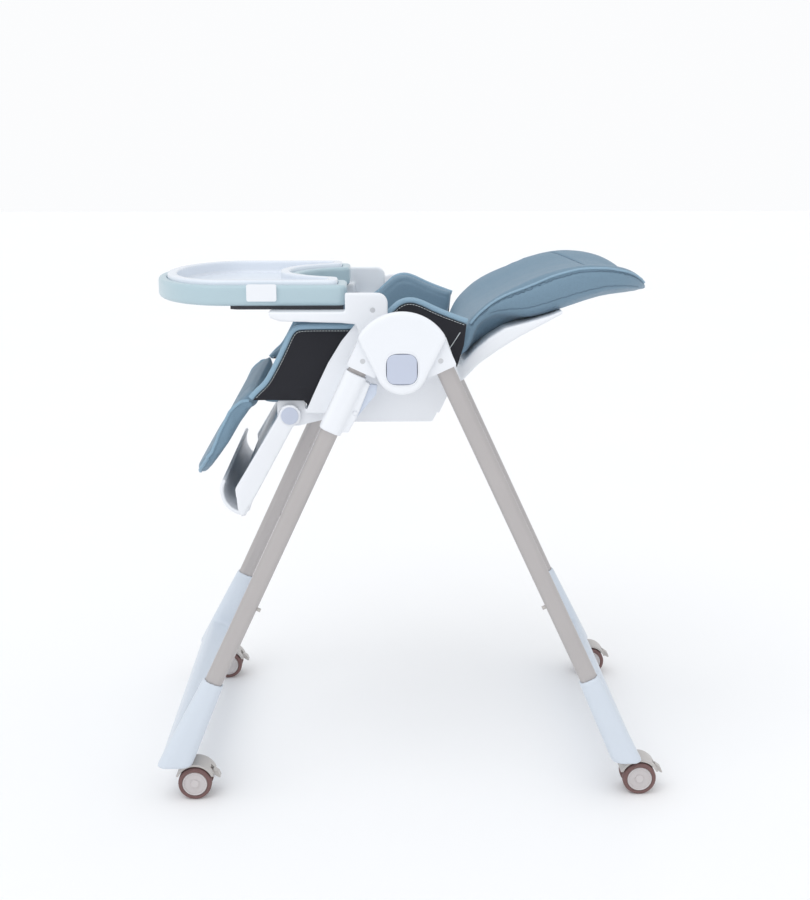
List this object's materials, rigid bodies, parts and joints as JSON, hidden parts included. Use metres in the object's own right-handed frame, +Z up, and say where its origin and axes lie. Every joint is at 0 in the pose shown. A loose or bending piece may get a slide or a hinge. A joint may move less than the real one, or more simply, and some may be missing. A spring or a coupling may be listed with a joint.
{
  "type": "folding high chair",
  "caption": "Folding baby high chair: A-frame of oval tubes on braked castors, height-adjustable reclining padded seat, lift-off tray insert and footrest.",
  "frame": {"origin": "middle of the footprint box, on the floor", "axes": "+Z up, -Y is the chair's front, +X its left side as the child sits"},
  "size_m": [0.606, 0.825, 0.844],
  "materials": {
    "white_plastic": "satin moulded",
    "champagne_tube": "satin champagne paint",
    "button_plastic": "smooth lavender grey",
    "trigger_plastic": "pale blue grey",
    "teal_plastic": "satin pale teal",
    "black_plastic": "dark satin",
    "blue_leather": "soft grained",
    "black_cloth": "fine weave",
    "strap_webbing": "woven webbing",
    "castor_plastic": "grey beige",
    "tyre_rubber": "brown",
    "screw_steel": "bright"
  },
  "bodies": {
    "front_frame": {"front_foot_bar": "white_plastic", "front_hub_screws": "screw_steel", "front_stop_pegs": "castor_plastic", "front_tube_left": "champagne_tube", "front_tube_right": "champagne_tube", "front_hub_left": "white_plastic", "front_hub_right": "white_plastic", "hub_domes": "white_plastic"},
    "rear_frame": {"rear_foot_bar": "white_plastic", "rear_hub_screws": "screw_steel", "rear_stop_pegs": "castor_plastic", "rear_tube_left": "champagne_tube", "rear_tube_right": "champagne_tube", "rear_hub_left": "white_plastic", "rear_hub_right": "white_plastic"},
    "seat": {"sliders": "white_plastic", "trigger_pins": "white_plastic", "seat_shell": "white_plastic", "base_cover": "white_plastic", "tray_arms": "white_plastic", "arm_screws": "screw_steel", "footrest_brackets": "white_plastic", "seat_pad": "blue_leather", "side_wings": "blue_leather", "side_panels": "black_cloth", "calf_pad": "blue_leather", "lap_straps": "strap_webbing", "buckle": "black_plastic"},
    "backrest": {"backrest_pad": "blue_leather", "backrest_shell": "white_plastic", "strap_knobs": "white_plastic"},
    "recline_lever": {"recline_lever": "trigger_plastic"},
    "tray": {"tray_base": "teal_plastic", "tray_rails": "black_plastic"},
    "tray_insert": {"tray_insert": "white_plastic"},
    "footrest": {"footrest": "white_plastic", "footrest_caps": "button_plastic"},
    "fold_button_left": {"fold_button_left": "button_plastic"},
    "release_trigger_left": {"release_trigger_left": "trigger_plastic"},
    "tray_clip_left": {"tray_clip_left": "white_plastic"},
    "fold_button_right": {"fold_button_right": "button_plastic"},
    "release_trigger_right": {"release_trigger_right": "trigger_plastic"},
    "tray_clip_right": {"tray_clip_right": "white_plastic"},
    "castor_front_left": {"castor_body_front_left": "castor_plastic"},
    "wheels_front_left": {"castor_wheels_front_left": "castor_plastic", "castor_tyres_front_left": "tyre_rubber"},
    "brake_front_left": {"castor_brake_front_left": "castor_plastic"},
    "castor_front_right": {"castor_body_front_right": "castor_plastic"},
    "wheels_front_right": {"castor_wheels_front_right": "castor_plastic", "castor_tyres_front_right": "tyre_rubber"},
    "brake_front_right": {"castor_brake_front_right": "castor_plastic"},
    "castor_rear_left": {"castor_body_rear_left": "castor_plastic"},
    "wheels_rear_left": {"castor_wheels_rear_left": "castor_plastic", "castor_tyres_rear_left": "tyre_rubber"},
    "brake_rear_left": {"castor_brake_rear_left": "castor_plastic"},
    "castor_rear_right": {"castor_body_rear_right": "castor_plastic"},
    "wheels_rear_right": {"castor_wheels_rear_right": "castor_plastic", "castor_tyres_rear_right": "tyre_rubber"},
    "brake_rear_right": {"castor_brake_rear_right": "castor_plastic"}
  },
  "joints": [
    {"name": "leg_fold", "type": "hinge", "parent": "front_frame", "child": "rear_frame", "pos_m": [0, -0.01452, 0.708], "axis": [1, 0, 0], "range_deg": [-48, 0]},
    {"name": "seat_height", "type": "slide", "parent": "front_frame", "child": "seat", "axis": [0, -0.4226, -0.9063], "range_m": [0, 0.28]},
    {"name": "backrest_recline", "type": "hinge", "parent": "seat", "child": "backrest", "pos_m": [0, 0.04548, 0.7], "axis": [1, 0, 0], "range_deg": [0, 60]},
    {"name": "recline_lever_squeeze", "type": "hinge", "parent": "backrest", "child": "recline_lever", "pos_m": [0, 0.16948, 0.738], "axis": [1, 0, 0], "range_deg": [0, 5], "stiffness_Nm_per_rad": 0.4},
    {"name": "tray_slide", "type": "slide", "parent": "seat", "child": "tray", "axis": [0, -1, 0], "range_m": [0, 0.06]},
    {"name": "tray_insert_lift", "type": "slide", "parent": "tray", "child": "tray_insert", "axis": [0, 0, 1], "range_m": [0, 0.06]},
    {"name": "footrest_tilt", "type": "hinge", "parent": "seat", "child": "footrest", "pos_m": [0, -0.18752, 0.62], "axis": [1, 0, 0], "range_deg": [-4, 50]},
    {"name": "fold_button_left_press", "type": "slide", "parent": "front_frame", "child": "fold_button_left", "axis": [-1, 0, 0], "range_m": [0, 0.004], "stiffness_N_per_m": 800},
    {"name": "release_trigger_left_squeeze", "type": "hinge", "parent": "seat", "child": "release_trigger_left", "pos_m": [0.27, -0.08464, 0.63808], "axis": [1, 0, 0], "range_deg": [0, 6], "stiffness_Nm_per_rad": 0.4},
    {"name": "tray_clip_left_open", "type": "hinge", "parent": "tray_insert", "child": "tray_clip_left", "pos_m": [0.2023, -0.22752, 0.822], "axis": [0, -1, 0], "range_deg": [0, 25], "stiffness_Nm_per_rad": 0.4},
    {"name": "fold_button_right_press", "type": "slide", "parent": "front_frame", "child": "fold_button_right", "axis": [1, 0, 0], "range_m": [0, 0.004], "stiffness_N_per_m": 800},
    {"name": "release_trigger_right_squeeze", "type": "hinge", "parent": "seat", "child": "release_trigger_right", "pos_m": [-0.27, -0.08464, 0.63808], "axis": [1, 0, 0], "range_deg": [0, 6], "stiffness_Nm_per_rad": 0.4},
    {"name": "tray_clip_right_open", "type": "hinge", "parent": "tray_insert", "child": "tray_clip_right", "pos_m": [-0.2023, -0.22752, 0.822], "axis": [0, 1, 0], "range_deg": [0, 25], "stiffness_Nm_per_rad": 0.4},
    {"name": "swivel_front_left", "type": "hinge", "parent": "front_frame", "child": "castor_front_left", "pos_m": [0.248, -0.36665, 0.06], "axis": [0, 0, 1], "continuous": true},
    {"name": "roll_front_left", "type": "hinge", "parent": "castor_front_left", "child": "wheels_front_left", "pos_m": [0.248, -0.34865, 0.027], "axis": [1, 0, 0], "continuous": true},
    {"name": "brake_press_front_left", "type": "hinge", "parent": "castor_front_left", "child": "brake_front_left", "pos_m": [0.248, -0.32165, 0.042], "axis": [-1, 0, 0], "range_deg": [0, 12]},
    {"name": "swivel_front_right", "type": "hinge", "parent": "front_frame", "child": "castor_front_right", "pos_m": [-0.248, -0.36665, 0.06], "axis": [0, 0, 1], "continuous": true},
    {"name": "roll_front_right", "type": "hinge", "parent": "castor_front_right", "child": "wheels_front_right", "pos_m": [-0.248, -0.34865, 0.027], "axis": [1, 0, 0], "continuous": true},
    {"name": "brake_press_front_right", "type": "hinge", "parent": "castor_front_right", "child": "brake_front_right", "pos_m": [-0.248, -0.32165, 0.042], "axis": [-1, 0, 0], "range_deg": [0, 12]},
    {"name": "swivel_rear_left", "type": "hinge", "parent": "rear_frame", "child": "castor_rear_left", "pos_m": [0.248, 0.35461, 0.06], "axis": [0, 0, 1], "continuous": true},
    {"name": "roll_rear_left", "type": "hinge", "parent": "castor_rear_left", "child": "wheels_rear_left", "pos_m": [0.248, 0.37261, 0.027], "axis": [1, 0, 0], "continuous": true},
    {"name": "brake_press_rear_left", "type": "hinge", "parent": "castor_rear_left", "child": "brake_rear_left", "pos_m": [0.248, 0.39961, 0.042], "axis": [-1, 0, 0], "range_deg": [0, 12]},
    {"name": "swivel_rear_right", "type": "hinge", "parent": "rear_frame", "child": "castor_rear_right", "pos_m": [-0.248, 0.35461, 0.06], "axis": [0, 0, 1], "continuous": true},
    {"name": "roll_rear_right", "type": "hinge", "parent": "castor_rear_right", "child": "wheels_rear_right", "pos_m": [-0.248, 0.37261, 0.027], "axis": [1, 0, 0], "continuous": true},
    {"name": "brake_press_rear_right", "type": "hinge", "parent": "castor_rear_right", "child": "brake_rear_right", "pos_m": [-0.248, 0.39961, 0.042], "axis": [-1, 0, 0], "range_deg": [0, 12]}
  ]
}
